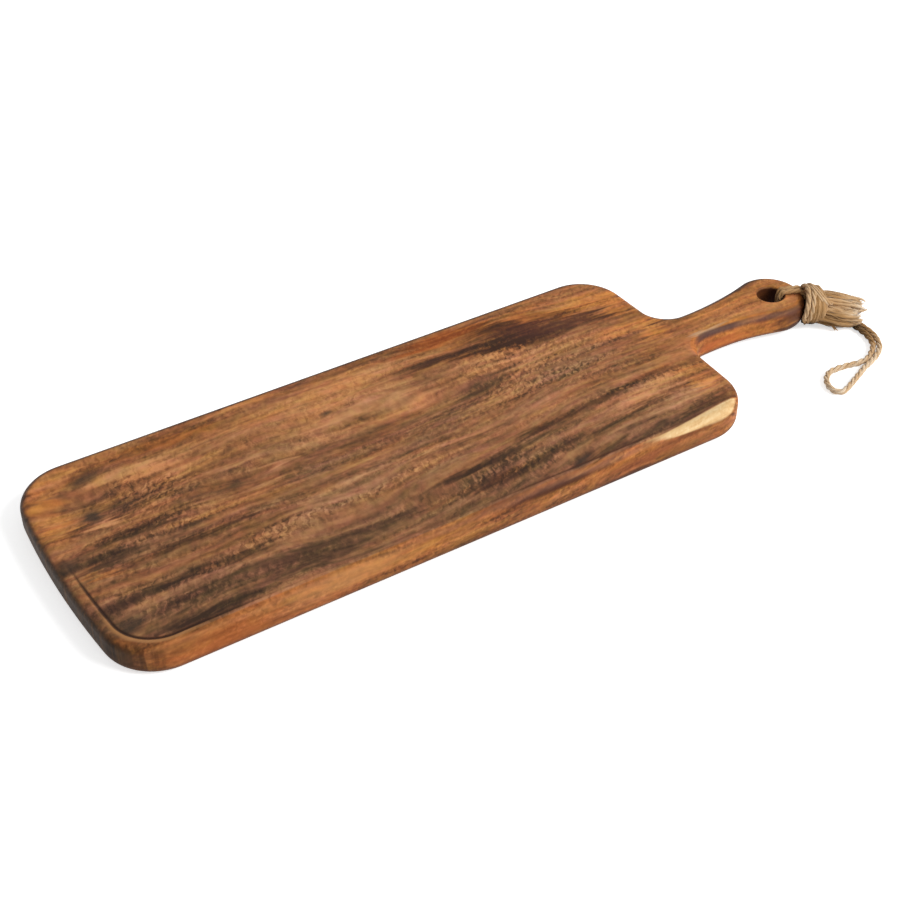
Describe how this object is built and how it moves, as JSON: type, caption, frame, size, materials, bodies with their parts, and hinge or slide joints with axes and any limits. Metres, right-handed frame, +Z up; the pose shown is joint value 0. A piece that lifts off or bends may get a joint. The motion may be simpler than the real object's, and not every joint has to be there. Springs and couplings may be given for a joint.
{
  "type": "paddle charcuterie board",
  "caption": "Long wooden serving board with rounded corners and edges, a narrow flared handle with a hole in its round tip, and a knotted twine hanging loop tied through the hole.",
  "frame": {"origin": "middle of the plank's underside, under the middle of its length and width", "axes": "+X towards the handle, +Z up out of the serving face, +Y across the plank"},
  "size_m": [0.558, 0.1755, 0.028],
  "materials": {
    "wood": "oiled, satin",
    "twine": "natural jute, fuzzy"
  },
  "bodies": {
    "plank": {"board": "wood"},
    "hanger": {"strand_far": "twine", "strand_near": "twine", "knot": "twine", "tail_far": "twine", "tail_near": "twine", "hanging_loop": "twine"}
  },
  "joints": [
    {"name": "hanger_swing", "type": "hinge", "parent": "plank", "child": "hanger", "pos_m": [0.2375, 0, 0.01], "axis": [0, 0, 1], "range_deg": [-35, 110]}
  ]
}
